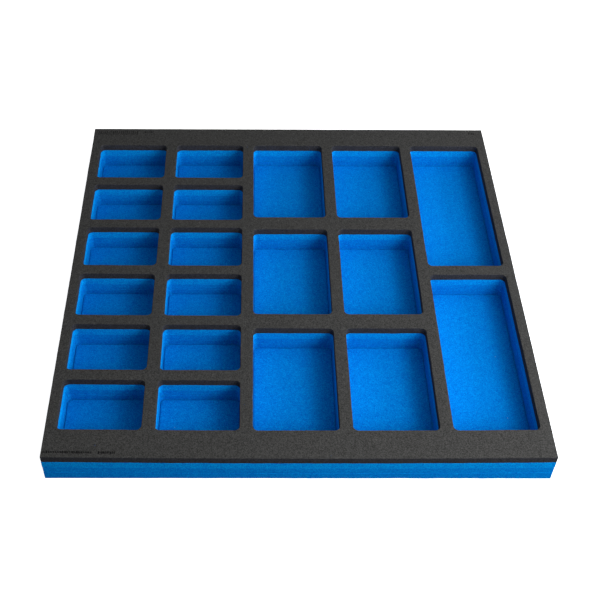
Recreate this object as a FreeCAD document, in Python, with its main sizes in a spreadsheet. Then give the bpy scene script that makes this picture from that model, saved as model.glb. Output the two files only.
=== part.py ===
import FreeCAD, Part
import os
import Sketcher

# Routed foam drawer insert: four foam sheets bonded into one slab, with twenty pockets cut from
# above. All lengths are millimetres. The origin is the centre of the underside, +X runs to the
# right along the front edge, +Y runs to the back and +Z is up.

V = FreeCAD.Vector

# Driving dimensions: (alias, value as text, what it sizes).
DIMENSIONS = [
    ("slab_width", "564", "outside width of the insert, left to right"),
    ("slab_depth", "564", "outside depth of the insert, front to back"),
    ("cover_sheet", "9.8", "thickness of the charcoal cover sheet"),
    ("middle_sheet", "9.8", "thickness of each of the two inner blue sheets"),
    ("base_sheet", "10", "thickness of the blue sheet the pocket floors are cut in"),
    ("bond_film", "0.2", "thickness of each adhesive film between two sheets"),
    ("pocket_floor", "2.6", "foam left under every pocket"),
    ("cutter_radius", "6", "radius the router leaves in every pocket corner"),
    ("side_margin", "12.25", "foam left outside the first and the last column"),
    ("end_margin", "37", "foam left in front of the first row and behind the last"),
    ("column_web", "15", "foam left standing between two columns"),
    ("small_trim", "1.4", "how much narrower a small pocket is than an even share of the width"),
    ("medium_gain", "1.1", "how much wider a medium pocket is than an even share of the width"),
    ("small_web", "15.2", "foam left standing between two small pockets in a column"),
    ("medium_web", "23", "foam left standing between two medium pockets in a column"),
    ("large_web", "16", "foam left standing between the two large pockets"),
    ("small_rows", "6", "small pockets in one column"),
    ("medium_rows", "3", "medium pockets in one column"),
    ("large_rows", "2", "large pockets in the last column"),
    ("small_columns", "2", "columns of small pockets"),
    ("medium_columns", "2", "columns of medium pockets"),
]

# Sizes that follow from the ones above: (alias, formula).
DERIVED = [
    ("base_top", "=base_sheet"),
    ("middle_bottom", "=base_top + bond_film"),
    ("middle_top", "=middle_bottom + middle_sheet"),
    ("upper_bottom", "=middle_top + bond_film"),
    ("upper_top", "=upper_bottom + middle_sheet"),
    ("cover_bottom", "=upper_top + bond_film"),
    ("slab_height", "=cover_bottom + cover_sheet"),
    ("floor_cut", "=base_sheet - pocket_floor"),
    ("field_width", "=slab_width - 2 * side_margin"),
    ("field_depth", "=slab_depth - 2 * end_margin"),
    ("field_left", "=-field_width / 2"),
    ("field_front", "=-field_depth / 2"),
    ("column_count", "=small_columns + medium_columns + 1"),
    ("even_width", "=(field_width - (column_count - 1) * column_web) / column_count"),
    ("small_width", "=even_width - small_trim"),
    ("medium_width", "=even_width + medium_gain"),
    ("small_pitch", "=small_width + column_web"),
    ("medium_pitch", "=medium_width + column_web"),
    ("medium_left", "=field_left + small_columns * small_pitch"),
    ("large_left", "=medium_left + medium_columns * medium_pitch"),
    ("large_width", "=field_width / 2 - large_left"),
    ("small_depth", "=(field_depth - (small_rows - 1) * small_web) / small_rows"),
    ("medium_depth", "=(field_depth - (medium_rows - 1) * medium_web) / medium_rows"),
    ("large_depth", "=(field_depth - (large_rows - 1) * large_web) / large_rows"),
    ("small_step", "=small_depth + small_web"),
    ("medium_step", "=medium_depth + medium_web"),
    ("large_step", "=large_depth + large_web"),
]

# Pocket groups: name, left edge, width, depth, column pitch, columns, row step, rows.
POCKETS = [
    ("small", "field_left", "small_width", "small_depth", "small_pitch", "small_columns",
     "small_step", "small_rows"),
    ("medium", "medium_left", "medium_width", "medium_depth", "medium_pitch", "medium_columns",
     "medium_step", "medium_rows"),
    ("large", "large_left", "large_width", "large_depth", "", "",
     "large_step", "large_rows"),
]

# Layers from the bottom up: node, underside, top, thickness, cut depth ("" cuts right through).
LAYERS = [
    ("base_sheet_blue", "", "base_top", "base_sheet", "floor_cut"),
    ("bond_film_lower", "base_top", "middle_bottom", "bond_film", ""),
    ("middle_sheet_blue", "middle_bottom", "middle_top", "middle_sheet", ""),
    ("bond_film_centre", "middle_top", "upper_bottom", "bond_film", ""),
    ("upper_sheet_blue", "upper_bottom", "upper_top", "middle_sheet", ""),
    ("bond_film_upper", "upper_top", "cover_bottom", "bond_film", ""),
    ("cover_sheet_charcoal", "cover_bottom", "slab_height", "cover_sheet", ""),
]


def make_dimensions(doc):
    """Puts every driving and derived size on one sheet, each under its own alias."""
    sheet = doc.addObject("Spreadsheet::Sheet", "dims")
    row = 1
    for alias, value, note in DIMENSIONS:
        sheet.set("A%d" % row, note)
        sheet.set("B%d" % row, value)
        sheet.setAlias("B%d" % row, alias)
        row += 1
    for alias, formula in DERIVED:
        sheet.set("A%d" % row, alias.replace("_", " "))
        sheet.set("B%d" % row, formula)
        sheet.setAlias("B%d" % row, alias)
        row += 1
    doc.recompute()
    return sheet


def size(sheet, alias):
    """The present value of one alias as a plain number."""
    return float(getattr(sheet, alias))


def own_plane(body, role):
    """The body's own origin plane or axis with the given role."""
    for feature in body.Origin.OriginFeatures:
        if feature.Role == role:
            return feature
    raise RuntimeError("no origin feature " + role)


def flat_sketch(body, name, height):
    """A sketch on the body's XY plane, lifted to the height held by an alias."""
    sketch = body.newObject("Sketcher::SketchObject", name)
    sketch.AttachmentSupport = (own_plane(body, "XY_Plane"), [""])
    sketch.MapMode = "FlatFace"
    if height:
        sketch.setExpression("AttachmentOffset.Base.z", "dims." + height)
    return sketch


def draw_outline(sketch, sheet):
    """A sharp-cornered rectangle centred on the origin."""
    x = size(sheet, "slab_width") / 2
    y = size(sheet, "slab_depth") / 2
    corners = [V(-x, -y, 0), V(x, -y, 0), V(x, y, 0), V(-x, y, 0)]
    for i in range(4):
        sketch.addGeometry(Part.LineSegment(corners[i], corners[(i + 1) % 4]), False)
    for i in range(4):
        sketch.addConstraint(Sketcher.Constraint("Coincident", i, 2, (i + 1) % 4, 1))
    for i in (0, 2):
        sketch.addConstraint(Sketcher.Constraint("Horizontal", i))
    for i in (1, 3):
        sketch.addConstraint(Sketcher.Constraint("Vertical", i))
    sketch.addConstraint(Sketcher.Constraint("Symmetric", 0, 1, 2, 1, -1, 1))
    bind(sketch, Sketcher.Constraint("DistanceX", 0, 1, 0, 2, 2 * x), "width", "slab_width")
    bind(sketch, Sketcher.Constraint("DistanceY", 1, 1, 1, 2, 2 * y), "depth", "slab_depth")


def bind(sketch, constraint, name, alias):
    """Adds a named dimension to a sketch and ties it to an alias."""
    index = sketch.addConstraint(constraint)
    sketch.renameConstraint(index, name)
    sketch.setExpression("Constraints." + name, "dims." + alias)


def draw_pocket(sketch, sheet, left, width, depth):
    """A rectangle with round corners whose front left corner is at (left, field_front)."""
    r = size(sheet, "cutter_radius")
    x0 = size(sheet, left)
    y0 = size(sheet, "field_front")
    x1 = x0 + size(sheet, width)
    y1 = y0 + size(sheet, depth)
    quarter = 1.5707963267948966
    sides = [
        (V(x0 + r, y0, 0), V(x1 - r, y0, 0)),
        (V(x1, y0 + r, 0), V(x1, y1 - r, 0)),
        (V(x1 - r, y1, 0), V(x0 + r, y1, 0)),
        (V(x0, y1 - r, 0), V(x0, y0 + r, 0)),
    ]
    centres = [V(x1 - r, y0 + r, 0), V(x1 - r, y1 - r, 0), V(x0 + r, y1 - r, 0), V(x0 + r, y0 + r, 0)]
    for start, end in sides:
        sketch.addGeometry(Part.LineSegment(start, end), False)
    for i in range(4):
        circle = Part.Circle(centres[i], V(0, 0, 1), r)
        sketch.addGeometry(Part.ArcOfCircle(circle, (i - 1) * quarter, i * quarter), False)
    for i in range(4):
        sketch.addConstraint(Sketcher.Constraint("Tangent", i, 2, 4 + i, 1))
        sketch.addConstraint(Sketcher.Constraint("Tangent", 4 + i, 2, (i + 1) % 4, 1))
    for i in (0, 2):
        sketch.addConstraint(Sketcher.Constraint("Horizontal", i))
    for i in (1, 3):
        sketch.addConstraint(Sketcher.Constraint("Vertical", i))
    for i in (5, 6, 7):
        sketch.addConstraint(Sketcher.Constraint("Equal", 4, i))
    bind(sketch, Sketcher.Constraint("Radius", 4, r), "corner", "cutter_radius")
    bind(sketch, Sketcher.Constraint("DistanceX", 3, 1, 1, 1, x1 - x0), "width", width)
    bind(sketch, Sketcher.Constraint("DistanceY", 0, 1, 2, 1, y1 - y0), "depth", depth)
    bind(sketch, Sketcher.Constraint("DistanceX", -1, 1, 3, 1, x0), "left", left)
    bind(sketch, Sketcher.Constraint("DistanceY", -1, 1, 0, 1, y0), "front", "field_front")


def cut_group(body, sheet, group, top, cut):
    """Cuts one pocket of a group, then repeats it over its columns and rows."""
    name, left, width, depth, pitch, columns, step, rows = group
    sketch = flat_sketch(body, body.Name + "_" + name + "_sketch", top)
    draw_pocket(sketch, sheet, left, width, depth)
    pocket = body.newObject("PartDesign::Pocket", body.Name + "_" + name + "_pocket")
    pocket.Profile = sketch
    if cut:
        pocket.Type = "Length"
        pocket.setExpression("Length", "dims." + cut)
    else:
        pocket.Type = "ThroughAll"
    pattern = body.newObject("PartDesign::LinearPattern", body.Name + "_" + name + "_grid")
    pattern.Originals = [pocket]
    pattern.Direction = (own_plane(body, "Y_Axis"), [""])
    pattern.Mode = "Spacing"
    pattern.setExpression("Offset", "dims." + step)
    pattern.setExpression("Occurrences", "dims." + rows)
    if columns:
        pattern.Direction2 = (own_plane(body, "X_Axis"), [""])
        pattern.Mode2 = "Extent"
        pattern.setExpression("Length2", "dims.%s * (dims.%s - 1)" % (pitch, columns))
        pattern.setExpression("Occurrences2", "dims." + columns)
    body.Tip = pattern


def make_layer(doc, sheet, layer):
    """One sheet or bond film of the slab as a body of its own."""
    node, underside, top, thickness, cut = layer
    body = doc.addObject("PartDesign::Body", node)
    body.Label = node
    outline = flat_sketch(body, node + "_outline", underside)
    draw_outline(outline, sheet)
    blank = body.newObject("PartDesign::Pad", node + "_blank")
    blank.Profile = outline
    blank.setExpression("Length", "dims." + thickness)
    for group in POCKETS:
        cut_group(body, sheet, group, top, cut)
    return body


def check(doc, bodies):
    """Stops if any object failed to rebuild or any body is not one valid solid."""
    for obj in doc.Objects:
        if "Invalid" in obj.State or "Error" in obj.State:
            raise RuntimeError(obj.Name + " did not rebuild: " + str(obj.State))
    for body in bodies:
        if body.Shape.isNull() or not body.Shape.isValid():
            raise RuntimeError(body.Name + " has no valid shape")
        if len(body.Shape.Solids) != 1:
            raise RuntimeError(body.Name + " is not one solid")


def main():
    """Builds every layer and writes each one to its own file."""
    os.makedirs("parts", exist_ok=True)
    doc = FreeCAD.newDocument("foam_insert")
    sheet = make_dimensions(doc)
    bodies = []
    for layer in LAYERS:
        bodies.append(make_layer(doc, sheet, layer))
    doc.recompute()
    check(doc, bodies)
    for body in bodies:
        body.Shape.exportStep("parts/" + body.Label + ".step")


main()
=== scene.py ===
import logging
import math
from dataclasses import dataclass
from enum import Enum
from typing import Any, Dict, List, Optional, Sequence, Tuple, Union

import bmesh
import bpy
from mathutils import Matrix, Vector


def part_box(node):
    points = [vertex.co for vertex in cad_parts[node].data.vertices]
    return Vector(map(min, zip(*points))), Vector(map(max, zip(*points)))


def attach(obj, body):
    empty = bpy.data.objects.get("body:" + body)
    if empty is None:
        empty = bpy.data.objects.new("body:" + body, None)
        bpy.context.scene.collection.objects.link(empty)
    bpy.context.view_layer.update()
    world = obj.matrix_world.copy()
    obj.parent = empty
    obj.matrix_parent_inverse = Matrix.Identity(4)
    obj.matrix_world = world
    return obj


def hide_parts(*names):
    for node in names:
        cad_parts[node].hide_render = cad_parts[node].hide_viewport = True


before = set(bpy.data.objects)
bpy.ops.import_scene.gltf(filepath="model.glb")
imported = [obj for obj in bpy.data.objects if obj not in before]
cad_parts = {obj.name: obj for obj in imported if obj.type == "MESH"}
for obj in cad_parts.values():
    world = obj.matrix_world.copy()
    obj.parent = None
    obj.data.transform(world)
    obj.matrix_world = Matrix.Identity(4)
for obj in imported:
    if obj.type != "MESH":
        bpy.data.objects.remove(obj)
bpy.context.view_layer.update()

log = logging.getLogger("foam_insert")

Colour = Tuple[float, float, float]
Point = Tuple[float, float, float]
MM = 0.001


# ---- Node trees ----


class Wire:
    """One output of a node, which adds Math nodes when it is used in arithmetic."""

    def __init__(self, graph: "Graph", node: bpy.types.Node, output: Union[int, str] = 0) -> None:
        """Keeps a node and which of its outputs is meant.

        Args:
            graph: The graph that the node belongs to.
            node: The node.
            output: The output's name or number.
        """
        self.graph = graph
        self.node = node
        self.output = output

    @property
    def socket(self) -> bpy.types.NodeSocket:
        """The output itself."""
        return self.node.outputs[self.output]

    def other(self, output: Union[int, str]) -> "Wire":
        """Another output of the same node."""
        return Wire(self.graph, self.node, output)

    def __add__(self, other: "Value") -> "Wire":
        """self + other."""
        return self.graph.maths("ADD", self, other)

    def __radd__(self, other: "Value") -> "Wire":
        """other + self."""
        return self.graph.maths("ADD", other, self)

    def __sub__(self, other: "Value") -> "Wire":
        """self - other."""
        return self.graph.maths("SUBTRACT", self, other)

    def __rsub__(self, other: "Value") -> "Wire":
        """other - self."""
        return self.graph.maths("SUBTRACT", other, self)

    def __mul__(self, other: "Value") -> "Wire":
        """self * other."""
        return self.graph.maths("MULTIPLY", self, other)

    def __rmul__(self, other: "Value") -> "Wire":
        """other * self."""
        return self.graph.maths("MULTIPLY", other, self)

    def __truediv__(self, other: "Value") -> "Wire":
        """self / other."""
        return self.graph.maths("DIVIDE", self, other)

    def __abs__(self) -> "Wire":
        """The size of the value without its sign."""
        return self.graph.maths("ABSOLUTE", self)

    def above(self, limit: "Value") -> "Wire":
        """1 where the value is over the limit, otherwise 0."""
        return self.graph.maths("GREATER_THAN", self, limit)

    def below(self, limit: "Value") -> "Wire":
        """1 where the value is under the limit, otherwise 0."""
        return self.graph.maths("LESS_THAN", self, limit)


Value = Union[Wire, float, int, bool, str, Sequence[float], bpy.types.Material]


class Graph:
    """A shader or geometry node tree with one way to add a node."""

    def __init__(self, tree: bpy.types.NodeTree) -> None:
        """Keeps the tree."""
        self.tree = tree

    def node(
        self,
        kind: str,
        settings: Optional[Dict[str, Any]] = None,
        feeds: Optional[Dict[Union[int, str], Any]] = None,
        output: Union[int, str] = 0,
    ) -> Wire:
        """Adds a node, sets it up and feeds its sockets.

        Args:
            kind: The node's Blender type.
            settings: Properties of the node, set before its sockets.
            feeds: A value, a Wire or a list of Wires for each named or numbered input.
            output: Name or number of the output to return.

        Returns:
            That output, or the first one.
        """
        made = self.tree.nodes.new(kind)
        for name, value in (settings or {}).items():
            setattr(made, name, value)
        for name, value in (feeds or {}).items():
            self.feed(made.inputs[name], value)
        return Wire(self, made, output)

    def maths(self, operation: str, first: Value, second: Value = 0.0) -> Wire:
        """One Math node's result."""
        return self.node("ShaderNodeMath", {"operation": operation}, {0: first, 1: second})

    def feed(self, socket: bpy.types.NodeSocket, value: Any) -> None:
        """Links or sets one input.

        Args:
            socket: The input.
            value: A Wire, a list of Wires for a socket that takes several, or a plain value.
        """
        if isinstance(value, Wire):
            self.tree.links.new(value.socket, socket)
        elif isinstance(value, list) and value and isinstance(value[0], Wire):
            for wire in reversed(value):
                self.tree.links.new(wire.socket, socket)
        else:
            socket.default_value = value


class MaterialTree(Graph):
    """A material's node tree, which ends in one Principled shader."""

    def __init__(self, name: str, colour: Colour) -> None:
        """Makes an empty material.

        Args:
            name: The material's name.
            colour: Its colour in a plain viewport.
        """
        self.material = bpy.data.materials.new(name)
        self.material.use_nodes = True
        self.material.diffuse_color = (*colour, 1.0)
        super().__init__(self.material.node_tree)
        self.tree.nodes.clear()

    def place(self) -> Wire:
        """Object coordinates."""
        return self.node("ShaderNodeTexCoord", None, None, "Object")

    def noise(self, place: Wire, scale: float, detail: float) -> Wire:
        """Noise from 0 to 1 at the given scale per metre."""
        return self.node("ShaderNodeTexNoise", None, {"Vector": place, "Scale": scale, "Detail": detail})

    def chips(self, place: Wire, scale: float) -> Wire:
        """A random number from 0 to 1 for each cell of a Voronoi pattern."""
        cell = self.node("ShaderNodeTexVoronoi", None, {"Vector": place, "Scale": scale}, "Color")
        return self.node("ShaderNodeSeparateColor", None, {"Color": cell})

    def hollows(self, place: Wire, scale: float) -> Wire:
        """The distance from the middle of each cell of the same pattern, in cells."""
        return self.node("ShaderNodeTexVoronoi", None, {"Vector": place, "Scale": scale}, "Distance")

    def blend(self, share: Wire, first: Value, second: Value) -> Wire:
        """A colour from the first to the second as the share goes from 0 to 1."""
        return self.node("ShaderNodeMix", {"data_type": "RGBA"}, {0: share, 6: first, 7: second}, 2)

    def close(self, feeds: Dict[str, Any]) -> bpy.types.Material:
        """Ends the tree.

        Args:
            feeds: Values and Wires for the shader's inputs.

        Returns:
            The finished material.
        """
        shader = self.node("ShaderNodeBsdfPrincipled", None, feeds)
        self.node("ShaderNodeOutputMaterial", None, {"Surface": shader})
        return self.material


class Socket(Enum):
    """Kinds of input that a geometry tree can have."""

    LENGTH = "NodeSocketFloat"
    COUNT = "NodeSocketInt"
    SWITCH = "NodeSocketBool"
    FINISH = "NodeSocketMaterial"


class ShapeTree(Graph):
    """A Geometry Nodes tree with named inputs that is turned into a plain mesh."""

    def __init__(self, name: str) -> None:
        """Makes an empty tree with one geometry output.

        Args:
            name: The tree's name.
        """
        super().__init__(bpy.data.node_groups.new(name, "GeometryNodeTree"))
        self.tree.interface.new_socket("Geometry", in_out="OUTPUT", socket_type="NodeSocketGeometry")
        self.values: Dict[str, Any] = {}
        self.named: Dict[str, Wire] = {}
        self.entry = self.node("NodeGroupInput")

    def size(self, name: str, kind: Socket, value: Any) -> Wire:
        """Adds a named input, or finds it when it is there already.

        Args:
            name: The input's name.
            kind: What it holds.
            value: The value that this piece gives it.

        Returns:
            The input as a Wire.
        """
        if name not in self.named:
            made = self.tree.interface.new_socket(name, in_out="INPUT", socket_type=kind.value)
            self.values[made.identifier] = value
            self.named[name] = self.entry.other(name)
        return self.named[name]

    def vector(self, x: Value = 0.0, y: Value = 0.0, z: Value = 0.0) -> Wire:
        """Three numbers as one vector."""
        return self.node("ShaderNodeCombineXYZ", None, {"X": x, "Y": y, "Z": z})

    def joined(self, *shapes: Wire) -> Wire:
        """Several shapes as one."""
        return self.node("GeometryNodeJoinGeometry", None, {0: list(shapes)})

    def moved(self, shape: Wire, x: Value = 0.0, y: Value = 0.0, z: Value = 0.0) -> Wire:
        """A shape moved by x, y and z."""
        place = self.vector(x, y, z)
        return self.node("GeometryNodeTransform", None, {"Geometry": shape, "Translation": place})

    def close(self, shape: Wire, finish: Wire) -> None:
        """Ends the tree with plain geometry.

        Args:
            shape: The geometry, instances and all.
            finish: The material to dress it in.
        """
        plain = self.node("GeometryNodeRealizeInstances", None, {"Geometry": shape})
        dressed = self.node("GeometryNodeSetMaterial", None, {"Geometry": plain, "Material": finish})
        self.node("NodeGroupOutput", None, {0: dressed})

    def mesh(self, name: str) -> bpy.types.Mesh:
        """Runs the tree once.

        Args:
            name: The new mesh's name.

        Returns:
            What the tree makes, as a mesh of its own.
        """
        carrier = bpy.data.objects.new(name + "_carrier", bpy.data.meshes.new(name + "_carrier"))
        bpy.context.scene.collection.objects.link(carrier)
        modifier = carrier.modifiers.new("shape", "NODES")
        modifier.node_group = self.tree
        for identifier, value in self.values.items():
            modifier[identifier] = value
        result = plain_mesh(carrier, name)
        bpy.data.objects.remove(carrier)
        return result


def plain_mesh(shape: bpy.types.Object, name: str) -> bpy.types.Mesh:
    """An object's mesh with its modifiers applied.

    Args:
        shape: The object.
        name: The new mesh's name.

    Returns:
        The mesh, owned by nobody yet.
    """
    graph = bpy.context.evaluated_depsgraph_get()
    graph.update()
    made = bpy.data.meshes.new_from_object(shape.evaluated_get(graph), depsgraph=graph)
    made.name = name
    return made


# ---- Finishes ----


@dataclass(frozen=True)
class Feature:
    """One kind of feature in the foam's texture.

    Args:
        scale: How many lie side by side in a metre.
        tone: How far it lightens and darkens the colour.
        relief: Its share of the bumps.
        detail: Octaves of finer noise in it.
    """

    scale: float
    tone: float = 0.0
    relief: float = 0.0
    detail: float = 0.0


@dataclass(frozen=True)
class Crumbs:
    """Stray crumbs and lint on the foam's flat faces.

    Args:
        colour: Their colour.
        share: Share of the pattern's cells that hold a crumb.
        scale: How many cells lie side by side in a metre.
        radius: A crumb's radius, in cells.
        cover: How much of the foam's colour a crumb hides.
    """

    colour: Colour = (0.1, 0.22, 0.42)
    share: float = 0.035
    scale: float = 85.0
    radius: float = 0.06
    cover: float = 0.7


@dataclass(frozen=True)
class FoamFinish:
    """Closed-cell foam: skived faces above and below, routed faces on the walls.

    Args:
        name: The material's name.
        skin: Colour of the flat skived faces.
        cut: Colour of routed walls. Where it differs from the skin, the difference is painted light and shade
            on the walls.
        grain: How far the cells lighten and darken the colour.
        blue_grain: The share of that grain that the blue part of the colour takes.
        relief: Strength of the bumps.
        gloss: Specular level of the foam.
        crumbs: What lies on the flat faces.
        bump_depth: Depth of the bumps at full strength.
        roughness: Roughness of the foam between its cells.
        roughness_range: How far the cells change that.
        wall_limit: A face is all wall where the upright part of its normal is below this.
        flat_limit: It is all flat where that part is above this.
        fine: The finest grain.
        speck: Single cells that caught more or less light.
        pit: Cells that the knife opened.
        cell: Softer bumps between the pits.
        mottle: Patches of denser and looser foam.
        broad: Slow changes of shade over a whole sheet.
        streak: Router chatter, upright and on the walls only.
        streak_stretch: Height scale of the streaks, which draws them out upwards.
    """

    name: str
    skin: Colour
    cut: Colour
    grain: float = 0.46
    blue_grain: float = 0.4
    relief: float = 0.35
    gloss: float = 0.02
    crumbs: Crumbs = Crumbs()
    bump_depth: float = 0.5 * MM
    roughness: float = 0.86
    roughness_range: float = 0.2
    wall_limit: float = 0.55
    flat_limit: float = 0.85
    fine: Feature = Feature(1700.0, tone=1.0, detail=1.0)
    speck: Feature = Feature(1050.0, tone=1.4)
    pit: Feature = Feature(800.0, tone=1.3, relief=0.8)
    cell: Feature = Feature(620.0, relief=0.4, detail=2.0)
    mottle: Feature = Feature(160.0, tone=0.2, relief=0.3, detail=3.0)
    broad: Feature = Feature(14.0, tone=0.05, detail=3.0)
    streak: Feature = Feature(420.0, tone=0.2, relief=0.6, detail=2.0)
    streak_stretch: float = 0.05

    def build(self) -> bpy.types.Material:
        """Makes the material.

        Returns:
            The finished material.
        """
        g = MaterialTree(self.name, self.skin)
        place = g.place()
        flat = self.flatness(g)
        upright = g.node(
            "ShaderNodeMapping", None, {"Vector": place, "Scale": (1.0, 1.0, self.streak_stretch)}
        )
        speck = g.chips(place, self.speck.scale)
        pit = g.hollows(place, self.pit.scale)
        fine, cell, mottle, broad = [
            g.noise(place, feature.scale, feature.detail)
            for feature in (self.fine, self.cell, self.mottle, self.broad)
        ]
        streak = g.noise(upright, self.streak.scale, self.streak.detail)
        tone = (
            (speck - 0.5) * self.speck.tone
            + (pit - 0.5) * self.pit.tone
            + (fine - 0.5) * self.fine.tone
            + (mottle - 0.5) * self.mottle.tone
        ) * self.grain
        tone = tone + (broad - 0.5) * self.broad.tone + (streak - 0.5) * (1.0 - flat) * self.streak.tone
        height = (
            pit * self.pit.relief
            + cell * self.cell.relief
            + mottle * self.mottle.relief
            + streak * (1.0 - flat) * self.streak.relief
        )
        bump = g.node(
            "ShaderNodeBump",
            None,
            {"Strength": self.relief, "Distance": self.bump_depth, "Height": height},
        )
        return g.close(
            {
                "Base Color": self.littered(g, place, flat, self.toned(g, flat, tone)),
                "Roughness": self.roughness + (cell - 0.5) * self.roughness_range,
                "Specular IOR Level": self.gloss,
                "Normal": bump,
            }
        )

    def flatness(self, g: MaterialTree) -> Wire:
        """Tells flat faces from walls.

        Args:
            g: The material's graph.

        Returns:
            1 on the flat faces and 0 on the walls.
        """
        facing = g.node("ShaderNodeNewGeometry", None, None, "Normal")
        up = abs(g.node("ShaderNodeSeparateXYZ", None, {"Vector": facing}, "Z"))
        return g.node(
            "ShaderNodeMapRange",
            {"interpolation_type": "SMOOTHSTEP"},
            {"Value": up, "From Min": self.wall_limit, "From Max": self.flat_limit},
        )

    def toned(self, g: MaterialTree, flat: Wire, tone: Wire) -> Wire:
        """The foam's colour with its grain.

        Args:
            g: The material's graph.
            flat: 1 on the flat faces.
            tone: How much lighter or darker each place is.

        Returns:
            The colour.
        """
        level = g.node(
            "ShaderNodeCombineXYZ",
            None,
            {"X": 1.0 + tone, "Y": 1.0 + tone, "Z": 1.0 + tone * self.blue_grain},
        )
        # The walls take the cut colour, which holds painted light and shade.
        colour = g.blend(flat, (*self.cut, 1.0), (*self.skin, 1.0))
        return g.node("ShaderNodeVectorMath", {"operation": "MULTIPLY"}, {0: colour, 1: level})

    def littered(self, g: MaterialTree, place: Wire, flat: Wire, colour: Wire) -> Wire:
        """Adds a few stray crumbs to the flat faces.

        Args:
            g: The material's graph.
            place: Object coordinates.
            flat: 1 on the flat faces.
            colour: The foam's colour.

        Returns:
            The colour with crumbs.
        """
        near = g.hollows(place, self.crumbs.scale).below(self.crumbs.radius)
        chosen = g.chips(place, self.crumbs.scale).above(1.0 - self.crumbs.share)
        return g.blend(near * chosen * flat * self.crumbs.cover, colour, (*self.crumbs.colour, 1.0))


@dataclass(frozen=True)
class BondFinish:
    """The dull line of adhesive between two sheets.

    Args:
        name: The material's name.
        colour: Colour of a thick patch.
        thin: Share of that colour left where the film is thin.
        scale: How many patches lie side by side in a metre.
        detail: Octaves of finer noise in them.
        roughness: Roughness of a thin patch.
        roughness_range: How much rougher a thick patch is.
        gloss: Specular level of the film.
    """

    name: str
    colour: Colour
    thin: float = 0.45
    scale: float = 260.0
    detail: float = 3.0
    roughness: float = 0.5
    roughness_range: float = 0.25
    gloss: float = 0.3

    def build(self) -> bpy.types.Material:
        """Makes the material.

        Returns:
            The finished material.
        """
        g = MaterialTree(self.name, self.colour)
        patch = g.noise(g.place(), self.scale, self.detail)
        dark = tuple(self.thin * part for part in self.colour)
        return g.close(
            {
                "Base Color": g.blend(patch, (*dark, 1.0), (*self.colour, 1.0)),
                "Roughness": self.roughness + patch * self.roughness_range,
                "Specular IOR Level": self.gloss,
            }
        )


@dataclass(frozen=True)
class FloorFinish:
    """A plain pale studio floor.

    Args:
        name: The material's name.
        colour: The floor's colour.
        glow: Its own brightness.
    """

    name: str = "studio_floor"
    colour: Colour = (0.5, 0.5, 0.5)
    glow: float = 0.9

    def build(self) -> bpy.types.Material:
        """Makes the material."""
        return MaterialTree(self.name, self.colour).close(
            {
                "Base Color": (*self.colour, 1.0),
                "Roughness": 0.9,
                "Specular IOR Level": 0.1,
                "Emission Color": (1.0, 1.0, 1.0, 1.0),
                "Emission Strength": self.glow,
            }
        )


# ---- The insert ----


@dataclass(frozen=True)
class PocketGroup:
    """Pockets of one size, in a grid.

    Args:
        name: What the group is called.
        left: X of the first pocket's left wall.
        width: Inside width of a pocket.
        rows: How many stand in a column.
        web: Foam between two of them in a column.
        columns: How many columns there are.
        pitch: From one column to the next.
    """

    name: str
    left: float
    width: float
    rows: int
    web: float
    columns: int = 1
    pitch: float = 0.0


@dataclass(frozen=True)
class Curl:
    """How the two front corners lift off the floor.

    Args:
        height: The lift at a front corner.
        across: How fast it dies away from the corner towards the middle of the front.
        back: How fast it dies away from the corner towards the back.
        clear: Height in the base sheet from which the lift is whole. The underside stays down.
    """

    height: float = 2.5 * MM
    across: float = 2.2
    back: float = 1.6
    clear: float = 8 * MM


@dataclass(frozen=True)
class Layout:
    """The plan that every sheet of the insert is cut to, in metres.

    Args:
        width: Left to right.
        depth: Front to back.
        side_margin: Foam beside the outermost pockets.
        end_margin: Foam in front of and behind the pockets.
        column_web: Foam between two columns.
        small_width: Inside width of a small pocket.
        medium_width: Inside width of a medium pocket.
        small_web: Foam between two small pockets in a column.
        medium_web: Foam between two medium pockets in a column.
        large_web: Foam between the two large pockets.
        corner: Radius of a pocket's corners, which is the cutter's.
        floor: Foam left below a pocket.
        curl: How the front corners lift.
    """

    width: float = 564 * MM
    depth: float = 564 * MM
    side_margin: float = 12.25 * MM
    end_margin: float = 37 * MM
    column_web: float = 15 * MM
    small_width: float = 94.5 * MM
    medium_width: float = 97 * MM
    small_web: float = 15.2 * MM
    medium_web: float = 23 * MM
    large_web: float = 16 * MM
    corner: float = 6 * MM
    floor: float = 2.6 * MM
    curl: Curl = Curl()

    @property
    def field_depth(self) -> float:
        """Depth from the first pocket's front wall to the last one's back wall."""
        return self.depth - 2 * self.end_margin

    def groups(self) -> List[PocketGroup]:
        """Works out the pocket groups.

        Returns:
            The small, medium and large pockets, from left to right.
        """
        left = self.side_margin - self.width / 2
        small = self.small_width + self.column_web
        medium = self.medium_width + self.column_web
        middle = left + 2 * small
        last = middle + 2 * medium
        wide = self.width / 2 - self.side_margin - last
        return [
            PocketGroup("small", left, self.small_width, 6, self.small_web, 2, small),
            PocketGroup("medium", middle, self.medium_width, 3, self.medium_web, 2, medium),
            PocketGroup("large", last, wide, 2, self.large_web),
        ]

    def rested(self, point: Vector) -> Vector:
        """Where a point of the flat plan lies once the foam has settled on a floor.

        Args:
            point: A point of the flat insert.

        Returns:
            The point, lifted a little towards the two front corners.
        """
        across = abs(point.x) / (self.width / 2)
        front = min(1.0, max(0.0, 0.5 - point.y / self.depth))
        clear = min(1.0, max(0.0, point.z / self.curl.clear))
        lift = self.curl.height * across**self.curl.across * front**self.curl.back * clear
        return Vector((point.x, point.y, point.z + lift))


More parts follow.
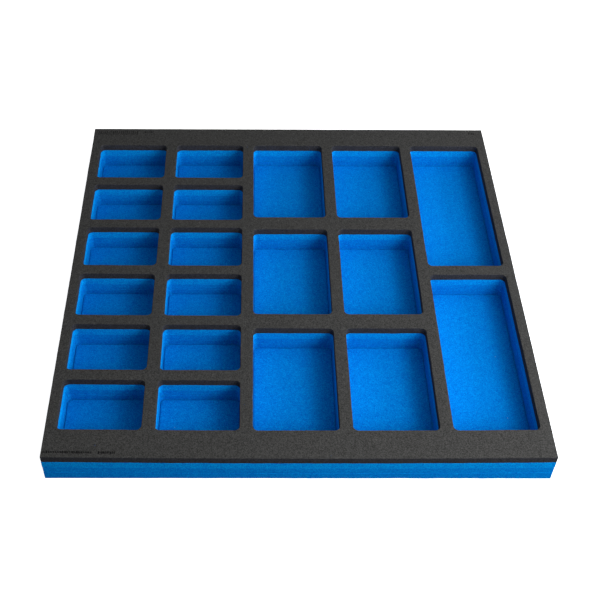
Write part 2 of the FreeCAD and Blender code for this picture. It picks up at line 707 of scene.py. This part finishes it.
@dataclass
class Layer:
    """One sheet or bond film, cut to the shared plan.

    Args:
        name: The piece's name.
        node: The CAD node it stands for.
        slot: A material slot's name. It is not used.
        finish: The material it is dressed in.
        plan: The shared plan.
        relief: How far its walls stand out from the plan; negative sets them back.
        blind: True where the pockets stop at a floor inside this sheet.
        top_edge: Radius of the worn edge along its top.
        low_edge: Radius of the edge along its underside.
        foam: False for a bond film.
        seed: Chooses how the cutter wandered, which is the same through every layer.
        wave: How far it wandered sideways.
        ripples: Repeats per metre of each wander, and its share of the wave.
        groove: Depth of the cutter's groove round a pocket floor.
        groove_width: Width of that groove.
        wall_steps: Bands of faces in a wall.
        step: The longest run between two points of an outline.
        corner_steps: Points in a pocket's corner.
        weld: Points nearer than this become one.
        sharp: An edge that turns by more than this is rounded.
        bevel_steps: Faces across a rounded edge.
        flat_weight: How far large faces rule the shading of small ones. 50 is neutral.
    """

    name: str
    node: str
    slot: str
    finish: bpy.types.Material
    plan: Layout
    relief: float = 0.0
    blind: bool = False
    top_edge: float = 0.35 * MM
    low_edge: float = 0.35 * MM
    foam: bool = True
    seed: float = 1.3
    wave: float = 0.35 * MM
    ripples: Tuple[Tuple[float, float], ...] = ((26.0, 1.0), (130.0, 0.7))
    groove: float = 1.0 * MM
    groove_width: float = 1.0 * MM
    wall_steps: int = 4
    step: float = 4.5 * MM
    corner_steps: int = 7
    weld: float = 0.01 * MM
    sharp: float = math.radians(50)
    bevel_steps: int = 3
    flat_weight: int = 60

    def build(self) -> bpy.types.Object:
        """Makes the piece and parents it to the root body.

        Returns:
            The finished piece.
        """
        low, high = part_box(self.node)
        mesh = self.shape(low[2], high[2])
        self.close_up(mesh)
        piece = bpy.data.objects.new(self.name, mesh)
        bpy.context.scene.collection.objects.link(piece)
        if self.foam:
            self.soften(piece, low[2], high[2])
        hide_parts(self.node)
        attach(piece, "root")
        return piece

    def shape(self, low: float, high: float) -> bpy.types.Mesh:
        """The sheet with its pockets, before its edges are softened.

        Args:
            low: Height of its underside.
            high: Height of its top.

        Returns:
            The sheet's mesh.
        """
        t = ShapeTree(self.name + "_tree")
        width = t.size("Sheet width", Socket.LENGTH, self.plan.width + 2 * self.relief)
        depth = t.size("Sheet depth", Socket.LENGTH, self.plan.depth + 2 * self.relief)
        top = t.size("Top", Socket.LENGTH, high)
        drop = t.size("Thickness", Socket.LENGTH, high - low)
        bottom = self.plan.floor - self.groove if self.blind else low
        cut = t.size("Cut depth", Socket.LENGTH, high - bottom)
        corner = t.size("Corner radius", Socket.LENGTH, self.plan.corner)
        step = t.size("Point spacing", Socket.LENGTH, self.step)
        blind = t.size("Blind", Socket.SWITCH, self.blind)
        gap = t.size("Groove width", Socket.LENGTH, self.groove_width)
        finish = t.size("Finish", Socket.FINISH, self.finish)
        edge = t.node(
            "GeometryNodeCurvePrimitiveQuadrilateral",
            {"mode": "RECTANGLE"},
            {"Width": width, "Height": depth},
        )
        edge = self.divided(t, edge, step)
        pockets = self.outlines(t, corner, step, 0.0)
        ring = self.filled(t, edge, pockets)
        floors = self.outlines(t, corner, step, gap)
        end = t.node(
            "GeometryNodeSwitch",
            {"input_type": "GEOMETRY"},
            {
                "Switch": blind,
                "False": t.moved(ring, z=top - drop),
                "True": self.blind_end(t, edge, pockets, floors, top, drop, cut),
            },
        )
        outside = self.walls(t, edge, top, drop)
        inside = self.walls(t, pockets, top, cut)
        shell = t.joined(t.moved(ring, z=top), outside, inside, end)
        shell = t.node("GeometryNodeMergeByDistance", None, {"Geometry": shell, "Distance": self.weld})
        t.close(self.waved(t, shell), finish)
        return t.mesh(self.name)

    def filled(self, t: ShapeTree, *curves: Wire) -> Wire:
        """Flat faces between closed curves, with a hole where one lies inside another."""
        return t.node("GeometryNodeFillCurve", {"mode": "TRIANGLES"}, {"Curve": t.joined(*curves)})

    def outlines(self, t: ShapeTree, corner: Wire, step: Wire, inset: Value) -> Wire:
        """The outlines of every pocket, drawn in from the walls by the inset."""
        return t.joined(*[self.pockets(t, group, corner, step, inset) for group in self.plan.groups()])

    def blind_end(
        self, t: ShapeTree, edge: Wire, pockets: Wire, floors: Wire, top: Wire, drop: Wire, cut: Wire
    ) -> Wire:
        """The underside of the base sheet and its pocket floors, each with the cutter's groove round it.

        Args:
            t: The tree.
            edge: The sheet's outline.
            pockets: The pockets' outlines.
            floors: The outlines of the raised floors, inside the grooves.
            top: Height of the sheet's top.
            drop: Thickness of the sheet.
            cut: Depth of the grooves below the top.

        Returns:
            The faces that close the sheet from below.
        """
        groove = t.size("Groove depth", Socket.LENGTH, self.groove)
        level = top - cut + groove
        return t.joined(
            t.moved(self.filled(t, edge), z=top - drop),
            t.moved(self.filled(t, pockets, floors), z=top - cut),
            t.moved(self.filled(t, floors), z=level),
            self.walls(t, floors, level, groove),
        )

    def divided(self, t: ShapeTree, curve: Wire, step: Wire) -> Wire:
        """Cuts a curve's long straight runs into short ones and leaves its corners alone.

        Args:
            t: The tree.
            curve: A closed curve.
            step: The longest run to leave.

        Returns:
            The curve with more points.
        """
        here = t.node("GeometryNodeInputPosition")
        after = t.node("GeometryNodeOffsetPointInCurve", None, {"Offset": 1}, "Point Index")
        there = t.node(
            "GeometryNodeFieldAtIndex",
            {"data_type": "FLOAT_VECTOR", "domain": "POINT"},
            {"Value": here, "Index": after},
        )
        run = t.node("ShaderNodeVectorMath", {"operation": "DISTANCE"}, {0: here, 1: there}, "Value")
        cuts = t.node("FunctionNodeFloatToInt", {"rounding_mode": "FLOOR"}, {0: run / step})
        return t.node("GeometryNodeSubdivideCurve", None, {"Curve": curve, "Cuts": cuts})

    def pockets(self, t: ShapeTree, group: PocketGroup, corner: Wire, step: Wire, inset: Value) -> Wire:
        """The outlines of one group of pockets, flat on the ground plane.

        Args:
            t: The tree.
            group: The group's sizes.
            corner: The corner radius.
            step: The longest straight run to leave.
            inset: How far the outline lies inside the pocket's wall.

        Returns:
            One closed curve per pocket.
        """
        name = group.name.capitalize()
        width = t.size(name + " width", Socket.LENGTH, group.width)
        rows = t.size(name + " rows", Socket.COUNT, group.rows)
        web = t.size(name + " web", Socket.LENGTH, group.web)
        columns = t.size(name + " columns", Socket.COUNT, group.columns)
        pitch = t.size(name + " pitch", Socket.LENGTH, group.pitch)
        left = t.size(name + " left", Socket.LENGTH, group.left)
        field_depth = t.size("Field depth", Socket.LENGTH, self.plan.field_depth)
        relief = t.size("Relief", Socket.LENGTH, self.relief)
        depth = (field_depth - (rows - 1.0) * web) / rows
        outline = t.node(
            "GeometryNodeCurvePrimitiveQuadrilateral",
            {"mode": "RECTANGLE"},
            {"Width": width - 2.0 * (relief + inset), "Height": depth - 2.0 * (relief + inset)},
        )
        outline = t.node(
            "GeometryNodeFilletCurve",
            {"mode": "POLY"},
            {"Curve": outline, "Count": self.corner_steps, "Radius": corner - inset},
        )
        outline = self.divided(t, outline, step)
        across = t.node(
            "GeometryNodeMeshLine",
            None,
            {
                "Count": columns,
                "Start Location": t.vector(left + width * 0.5, (depth - field_depth) * 0.5),
                "Offset": t.vector(pitch),
            },
        )
        along = t.node(
            "GeometryNodeMeshLine",
            None,
            {"Count": rows, "Offset": t.vector(0.0, depth + web)},
        )
        column = t.node("GeometryNodeInstanceOnPoints", None, {"Points": along, "Instance": outline})
        grid = t.node("GeometryNodeInstanceOnPoints", None, {"Points": across, "Instance": column})
        return t.node("GeometryNodeRealizeInstances", None, {"Geometry": grid})

    def walls(self, t: ShapeTree, curve: Wire, top: Wire, drop: Wire) -> Wire:
        """Upright walls below a curve, in a few steps.

        Args:
            t: The tree.
            curve: The outline on the ground plane.
            top: Height of the walls' upper edge.
            drop: Height of the walls.

        Returns:
            The walls, open above and below.
        """
        line = t.node("GeometryNodeCurveToMesh", None, {"Curve": curve})
        wall = t.moved(line, z=top)
        down = t.vector(0.0, 0.0, drop * (-1.0 / self.wall_steps))
        lowest: Value = True
        for _ in range(self.wall_steps):
            wall = t.node(
                "GeometryNodeExtrudeMesh",
                {"mode": "EDGES"},
                {"Mesh": wall, "Selection": lowest, "Offset": down, "Offset Scale": 1.0},
                "Mesh",
            )
            lowest = wall.other("Top")
        return wall

    def waved(self, t: ShapeTree, shell: Wire) -> Wire:
        """Moves the walls a little sideways, as a router leaves them in soft foam.

        Args:
            t: The tree.
            shell: The closed sheet.

        Returns:
            The sheet with wavy walls.
        """
        wave = t.size("Wave", Socket.LENGTH, self.wave)
        seed = t.size("Wave seed", Socket.LENGTH, self.seed)
        here = t.node("GeometryNodeInputPosition")
        shift: Value = (0.0, 0.0, 0.0)
        for scale, share in self.ripples:
            noise = t.node(
                "ShaderNodeTexNoise",
                {"noise_dimensions": "4D"},
                {"Vector": here, "W": seed, "Scale": scale, "Detail": 1.0},
                "Color",
            )
            # From 0 and 1 to -1 and 1 sideways, and nothing up or down.
            centred = t.node(
                "ShaderNodeVectorMath",
                {"operation": "MULTIPLY_ADD"},
                {0: noise, 1: (2.0, 2.0, 0.0), 2: (-1.0, -1.0, 0.0)},
            )
            part = t.node("ShaderNodeVectorMath", {"operation": "SCALE"}, {0: centred, "Scale": wave * share})
            shift = t.node("ShaderNodeVectorMath", {"operation": "ADD"}, {0: shift, 1: part})
        return t.node("GeometryNodeSetPosition", None, {"Geometry": shell, "Offset": shift})

    def close_up(self, mesh: bpy.types.Mesh) -> None:
        """Turns every face outwards and lays the sheet as it rests on the floor.

        Args:
            mesh: The sheet's mesh.
        """
        shell = bmesh.new()
        shell.from_mesh(mesh)
        bmesh.ops.recalc_face_normals(shell, faces=shell.faces)
        for vertex in shell.verts:
            vertex.co = self.plan.rested(vertex.co)
        for face in shell.faces:
            face.smooth = True
        shell.to_mesh(mesh)
        shell.free()

    def soften(self, piece: bpy.types.Object, low: float, high: float) -> None:
        """Rounds the sharp edges: more where hands wear them, less where two sheets meet.

        Args:
            piece: The sheet's object.
            low: Height of its underside.
            high: Height of its top.
        """
        shell = bmesh.new()
        shell.from_mesh(piece.data)
        weight = shell.edges.layers.float.new("bevel_weight_edge")
        widest = max(self.top_edge, self.low_edge)
        middle = (low + high) / 2
        for edge in shell.edges:
            if edge.calc_face_angle(0.0) > self.sharp:
                height = (edge.verts[0].co.z + edge.verts[1].co.z) / 2
                edge[weight] = (self.top_edge if height > middle else self.low_edge) / widest
        shell.to_mesh(piece.data)
        shell.free()
        bevel = piece.modifiers.new("worn_edges", "BEVEL")
        bevel.limit_method = "WEIGHT"
        bevel.width = widest
        bevel.segments = self.bevel_steps
        bevel.use_clamp_overlap = False
        smooth = piece.modifiers.new("even_light", "WEIGHTED_NORMAL")
        smooth.keep_sharp = False
        smooth.weight = self.flat_weight
        finished = plain_mesh(piece, self.name + "_mesh")
        piece.modifiers.clear()
        piece.data = finished


@dataclass(frozen=True)
class TickRow:
    """A run of plain marks on the cover.

    Args:
        start: X and Y of the first mark's centre.
        length: Length of the run.
        height: Length of one mark, front to back.
        pitch: From one mark to the next.
        stroke: Width of one mark.
    """

    start: Tuple[float, float]
    length: float
    height: float
    pitch: float = 1.9 * MM
    stroke: float = 1.1 * MM


@dataclass
class EdgeMarks:
    """Plain burnt-in tick marks near the corners of the cover.

    Args:
        finish: The material they are dressed in.
        plan: The shared plan.
        name: The piece's name.
        node: The CAD node they are burnt into.
        slot: A material slot's name. It is not used.
        thickness: How far a mark reaches above and below the cover's top.
        least: Least share of a row's stroke, height and thickness that a mark has.
        most: The most that it has.
        seed: Chooses those shares in the first row. Each further row takes the next seed.
        rows: The runs of marks.
    """

    finish: bpy.types.Material
    plan: Layout
    name: str = "edge_ticks"
    node: str = "cover_sheet_charcoal"
    slot: str = "foam_charcoal"
    thickness: float = 0.06 * MM
    least: Point = (0.7, 0.55, 1.0)
    most: Point = (1.5, 1.0, 1.0)
    seed: int = 3
    rows: Tuple[TickRow, ...] = (
        TickRow((-279 * MM, -275.3 * MM), 55 * MM, 3.6 * MM),
        TickRow((-219 * MM, -275.3 * MM), 19 * MM, 3.6 * MM),
        TickRow((-275 * MM, 272.5 * MM), 58 * MM, 9 * MM, 2.9 * MM, 0.7 * MM),
        TickRow((-208 * MM, 274.5 * MM), 14 * MM, 4 * MM, 2.2 * MM, 0.8 * MM),
        TickRow((262 * MM, 273 * MM), 9 * MM, 4 * MM, 2.2 * MM, 0.8 * MM),
    )

    def build(self) -> bpy.types.Object:
        """Makes the marks and parents them to the root body.

        Returns:
            The finished piece.
        """
        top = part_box(self.node)[1][2]
        t = ShapeTree(self.name + "_tree")
        thick = t.size("Thickness", Socket.LENGTH, self.thickness)
        finish = t.size("Finish", Socket.FINISH, self.finish)
        made = []
        for index, row in enumerate(self.rows):
            label = "Row %d " % (index + 1)
            count = t.size(label + "count", Socket.COUNT, int(row.length / row.pitch))
            pitch = t.size(label + "pitch", Socket.LENGTH, row.pitch)
            stroke = t.size(label + "stroke", Socket.LENGTH, row.stroke)
            left = t.size(label + "left", Socket.LENGTH, row.start[0])
            middle = t.size(label + "middle", Socket.LENGTH, row.start[1])
            height = t.size(label + "height", Socket.LENGTH, row.height)
            line = t.node(
                "GeometryNodeMeshLine",
                None,
                {"Count": count, "Start Location": t.vector(left, middle, top), "Offset": t.vector(pitch)},
            )
            mark = t.node("GeometryNodeMeshCube", None, {"Size": t.vector(stroke, height, thick * 2.0)})
            scale = t.node(
                "FunctionNodeRandomValue",
                {"data_type": "FLOAT_VECTOR"},
                {0: self.least, 1: self.most, "Seed": self.seed + index},
            )
            placed = {"Points": line, "Instance": mark, "Scale": scale}
            made.append(t.node("GeometryNodeInstanceOnPoints", None, placed))
        t.close(t.joined(*made), finish)
        mesh = t.mesh(self.name)
        for vertex in mesh.vertices:
            vertex.co = self.plan.rested(vertex.co)
        piece = bpy.data.objects.new(self.name, mesh)
        bpy.context.scene.collection.objects.link(piece)
        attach(piece, "root")
        return piece


@dataclass
class FoamInsert:
    """The whole laminated insert, from the base sheet up.

    Args:
        plan: The plan that every layer is cut to.
        proud: How far the base and the upper sheet stand out from the plan.
        set_back: How far the bond films lie behind the walls, as a negative relief.
        worn_edge: Radius of the cover's top edges, which hands wear most.
        skin: The blue foam's flat faces.
        floor_skin: The same in the pocket floors, painted a little darker: painted shade in the recesses.
        ink: Colour of the burnt marks.
    """

    plan: Layout = Layout()
    proud: float = 0.1 * MM
    set_back: float = -0.6 * MM
    worn_edge: float = 0.7 * MM
    skin: Colour = (0.0, 0.149, 0.5)
    floor_skin: Colour = (0.0, 0.144, 0.486)
    ink: Colour = (0.004, 0.004, 0.0045)

    def build(self) -> List[bpy.types.Object]:
        """Makes every layer and the marks on the cover.

        Returns:
            The pieces, from the bottom up.
        """
        pieces = [layer.build() for layer in self.layers()]
        burnt = FoamFinish("burnt_ticks", self.ink, self.ink, grain=0.3)
        pieces.append(EdgeMarks(burnt.build(), self.plan).build())
        return pieces

    def layers(self) -> List[Layer]:
        """Lists the layers.

        Returns:
            The four sheets and the three bond films between them, from the bottom up.
        """
        # One blue foam, with wall colours that grow lighter from the base sheet to the upper sheet: painted
        # shade low in the pockets and painted light near their tops.
        base = FoamFinish("blue_foam_base", self.floor_skin, cut=(0.0, 0.138, 0.465)).build()
        middle = FoamFinish("blue_foam_middle", self.skin, cut=(0.0, 0.145, 0.48)).build()
        upper = FoamFinish("blue_foam_upper", self.skin, cut=(0.0, 0.184, 0.535)).build()
        # The cover's wall colour is darker and bluer than its top: painted shade and painted blue bounce
        # light from the pockets.
        cover = FoamFinish(
            "charcoal_foam",
            skin=(0.028, 0.028, 0.0275),
            cut=(0.0205, 0.021, 0.0252),
            grain=0.6,
            blue_grain=1.0,
            relief=0.5,
            gloss=0.08,
            crumbs=Crumbs(colour=(0.008, 0.03, 0.1), share=0.15),
        ).build()
        bond = BondFinish("bond_line", (0.0, 0.045, 0.17)).build()
        blue = "foam_blue"
        dark = "foam_charcoal"
        glue = "adhesive"
        plan = self.plan
        back = self.set_back
        return [
            Layer("foam_base", "base_sheet_blue", blue, base, plan, self.proud, blind=True),
            Layer("bond_low", "bond_film_lower", glue, bond, plan, back, foam=False),
            Layer("foam_middle", "middle_sheet_blue", blue, middle, plan),
            Layer("bond_middle", "bond_film_centre", glue, bond, plan, back, foam=False),
            Layer("foam_upper", "upper_sheet_blue", blue, upper, plan, self.proud),
            Layer("bond_top", "bond_film_upper", glue, bond, plan, back, foam=False),
            Layer("foam_cover", "cover_sheet_charcoal", dark, cover, plan, top_edge=self.worn_edge),
        ]


# ---- Studio ----


@dataclass(frozen=True)
class Camera:
    """The camera, in metres and radians.

    Args:
        place: Where it stands.
        pitch: How far it looks down.
        yaw: How far it turns to its left.
        roll: How far it leans.
        lens: Focal length in millimetres.
        sensor: Width of the sensor in millimetres.
        shift: How far the frame is moved across and up.
    """

    place: Point = (-0.0506, -0.8988, 0.9939)
    pitch: float = 0.82395
    yaw: float = -0.01137
    roll: float = 0.0108
    lens: float = 61.75
    sensor: float = 36.0
    shift: Tuple[float, float] = (0.0644, -0.0351)

    def build(self) -> bpy.types.Object:
        """Makes the camera and gives it to the scene.

        Returns:
            The camera's object.
        """
        data = bpy.data.cameras.new("studio_camera")
        data.lens = self.lens
        data.sensor_width = self.sensor
        data.shift_x, data.shift_y = self.shift
        turn = Matrix.Rotation(self.yaw, 3, "Z")
        ahead = turn @ Vector((0, math.cos(self.pitch), -math.sin(self.pitch)))
        level_up = turn @ Vector((0, math.sin(self.pitch), math.cos(self.pitch)))
        level_right = turn @ Vector((1, 0, 0))
        right = math.cos(self.roll) * level_right + math.sin(self.roll) * level_up
        up = -math.sin(self.roll) * level_right + math.cos(self.roll) * level_up
        camera = bpy.data.objects.new("studio_camera", data)
        axes = Matrix((right, up, -ahead)).transposed()
        camera.matrix_world = Matrix.Translation(self.place) @ axes.to_4x4()
        bpy.context.scene.collection.objects.link(camera)
        bpy.context.scene.camera = camera
        return camera


@dataclass(frozen=True)
class SoftBox:
    """A square studio light.

    Args:
        name: What it is called.
        place: Where it stands.
        side: Length of its sides.
        power: Its power in watts.
        aim: The point it faces.
    """

    name: str
    place: Point
    side: float
    power: float
    aim: Point = (0.0, -0.05, 0.0)

    def build(self) -> bpy.types.Object:
        """Makes the light.

        Returns:
            The light's object.
        """
        data = bpy.data.lights.new(self.name, "AREA")
        data.shape = "SQUARE"
        data.size = self.side
        data.energy = self.power
        lamp = bpy.data.objects.new(self.name, data)
        lamp.location = self.place
        towards = Vector(self.aim) - Vector(self.place)
        lamp.rotation_euler = towards.to_track_quat("-Z", "Y").to_euler()
        bpy.context.scene.collection.objects.link(lamp)
        return lamp


@dataclass(frozen=True)
class SkyGlow:
    """A patch of bright sky that fades away from one direction.

    Args:
        towards: Where the patch is brightest.
        focus: How tight it is.
        strength: How bright it is at its middle.
    """

    towards: Point
    focus: float
    strength: float

    def shine(self, g: Graph, look: Wire) -> Wire:
        """The patch's brightness in the direction looked in.

        Args:
            g: The sky's graph.
            look: The direction looked in.

        Returns:
            The brightness.
        """
        aim = tuple(Vector(self.towards).normalized())
        along = g.node("ShaderNodeVectorMath", {"operation": "DOT_PRODUCT"}, {0: look, 1: aim}, "Value")
        ahead = g.maths("MAXIMUM", along, 0.0)
        return g.maths("POWER", ahead, self.focus) * self.strength


@dataclass
class Studio:
    """A pale floor, soft light and the camera.

    Args:
        backdrop: Brightness of the backdrop behind the floor.
        floor_half: Half the floor's side.
        floor_gap: How far the floor lies below the insert's underside.
        sky: The glows that light the foam from all round.
        lights: The softboxes.
    """

    backdrop: float = 0.95
    floor_half: float = 8.0
    floor_gap: float = 0.05 * MM
    sky: Tuple[SkyGlow, ...] = (
        SkyGlow((0.0, 0.0, 1.0), 1.0, 0.25),
        SkyGlow((0.0, -1.0, 0.4), 3.0, 0.58),
        SkyGlow((-1.0, 0.0, 0.4), 3.0, 0.42),
        SkyGlow((0.0, 1.0, 0.4), 3.0, 0.35),
    )
    lights: Tuple[SoftBox, ...] = (
        SoftBox("side_softbox", (1.3, -0.2, 0.5), 0.6, 17.6),
        SoftBox("high_softbox", (0.6, -0.35, 1.0), 0.8, 4.6),
        SoftBox("back_softbox", (0.9, 0.1, 0.8), 0.8, 5.9),
        SoftBox("front_softbox", (0.6, -0.8, 0.6), 0.5, 9.8),
    )

    def build(self) -> None:
        """Makes the floor, the sky, the lights and the camera."""
        self.make_floor()
        self.make_sky()
        for light in self.lights:
            light.build()
        Camera().build()
        bpy.context.scene.view_settings.view_transform = "Standard"

    def make_floor(self) -> None:
        """Makes the floor, which is pale to look at but throws no light back up at the foam."""
        half = self.floor_half
        mesh = bpy.data.meshes.new("studio_floor")
        corners = [(-half, -half), (half, -half), (half, half), (-half, half)]
        mesh.from_pydata([(x, y, -self.floor_gap) for x, y in corners], [], [(0, 1, 2, 3)])
        floor = bpy.data.objects.new("studio_floor", mesh)
        floor.data.materials.append(FloorFinish().build())
        bpy.context.scene.collection.objects.link(floor)
        floor.visible_diffuse = False
        floor.visible_glossy = False

    def make_sky(self) -> None:
        """Makes the sky from its glows, with a pale backdrop behind the floor."""
        world = bpy.data.worlds.new("studio_sky")
        world.use_nodes = True
        world.node_tree.nodes.clear()
        g = Graph(world.node_tree)
        look = g.node("ShaderNodeTexCoord", None, None, "Generated")
        seen = g.node("ShaderNodeLightPath", None, None, "Is Camera Ray")
        strength = sum((glow.shine(g, look) for glow in self.sky), 0.0) * (1.0 - seen)
        strength = strength + seen * self.backdrop
        shade = g.node("ShaderNodeBackground", None, {"Color": (1.0, 1.0, 1.0, 1.0), "Strength": strength})
        g.node("ShaderNodeOutputWorld", None, {"Surface": shade})
        bpy.context.scene.world = world


def main() -> None:
    """Builds the studio and the insert and reports each piece's faces."""
    logging.basicConfig(level=logging.INFO, format="%(name)s %(message)s")
    Studio().build()
    for piece in FoamInsert().build():
        log.info("%s: %d faces", piece.name, len(piece.data.polygons))


if __name__ == "__main__":
    main()
